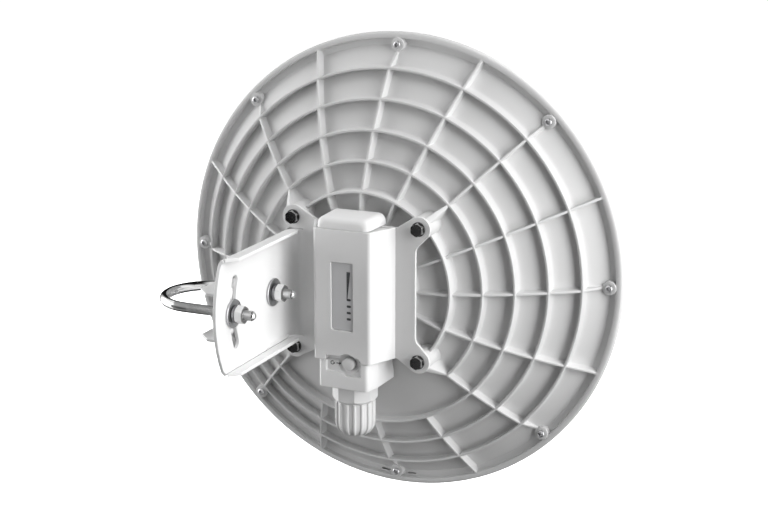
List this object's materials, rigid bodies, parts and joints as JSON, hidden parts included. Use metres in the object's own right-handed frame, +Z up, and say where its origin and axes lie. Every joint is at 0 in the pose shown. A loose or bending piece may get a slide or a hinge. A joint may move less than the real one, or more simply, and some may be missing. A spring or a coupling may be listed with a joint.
{
  "type": "microwave dish antenna",
  "caption": "Small ribbed microwave dish with a radio housing, held to a mast by a tilting bracket and a U-bolt clamp.",
  "frame": {"origin": "on the axis of the mast that the clamp holds, level with the dish's centre", "axes": "+Z up along the mast, +Y the way the dish looks, +X from the mast towards the dish"},
  "size_m": [0.4008, 0.2442, 0.4008],
  "materials": {
    "dish_plastic": "satin",
    "cover_plastic": "satin",
    "gland_plastic": "satin",
    "label_film": "satin",
    "seal_rubber": "matte",
    "coated_steel": "satin",
    "bolt_steel": "satin",
    "chromed_steel": "polished"
  },
  "bodies": {
    "clamp": {"u_bolt": "chromed_steel", "saddle_bracket": "coated_steel", "flat_washer_pivot": "bolt_steel", "flat_washer_slot": "bolt_steel", "spring_washer_pivot": "bolt_steel", "spring_washer_slot": "bolt_steel", "nut_pivot": "bolt_steel", "nut_slot": "bolt_steel"},
    "dish": {"reflector_shell": "dish_plastic", "radome": "cover_plastic", "rim_screw_1": "bolt_steel", "rim_screw_2": "bolt_steel", "rim_screw_3": "bolt_steel", "rim_screw_4": "bolt_steel", "rim_screw_5": "bolt_steel", "rim_screw_6": "bolt_steel", "rim_screw_7": "bolt_steel", "rim_screw_8": "bolt_steel", "mounting_plate": "coated_steel", "plate_bolt_1": "bolt_steel", "plate_bolt_2": "bolt_steel", "plate_bolt_3": "bolt_steel", "plate_bolt_4": "bolt_steel", "housing_cover": "cover_plastic", "radio_core": "cover_plastic", "label_plate": "label_film", "gland_body": "gland_plastic", "gland_seal": "seal_rubber", "gland_nut": "gland_plastic"},
    "button": {"reset_button": "gland_plastic"}
  },
  "joints": [
    {"name": "tilt", "type": "hinge", "parent": "clamp", "child": "dish", "pos_m": [0.042, 0.03385, 0], "axis": [1, 0, 0], "range_deg": [-22, 22]},
    {"name": "reset_push", "type": "slide", "parent": "dish", "child": "button", "axis": [0, 1, 0], "range_m": [0, 0.001], "stiffness_N_per_m": 600, "springref_m": -0.001}
  ]
}
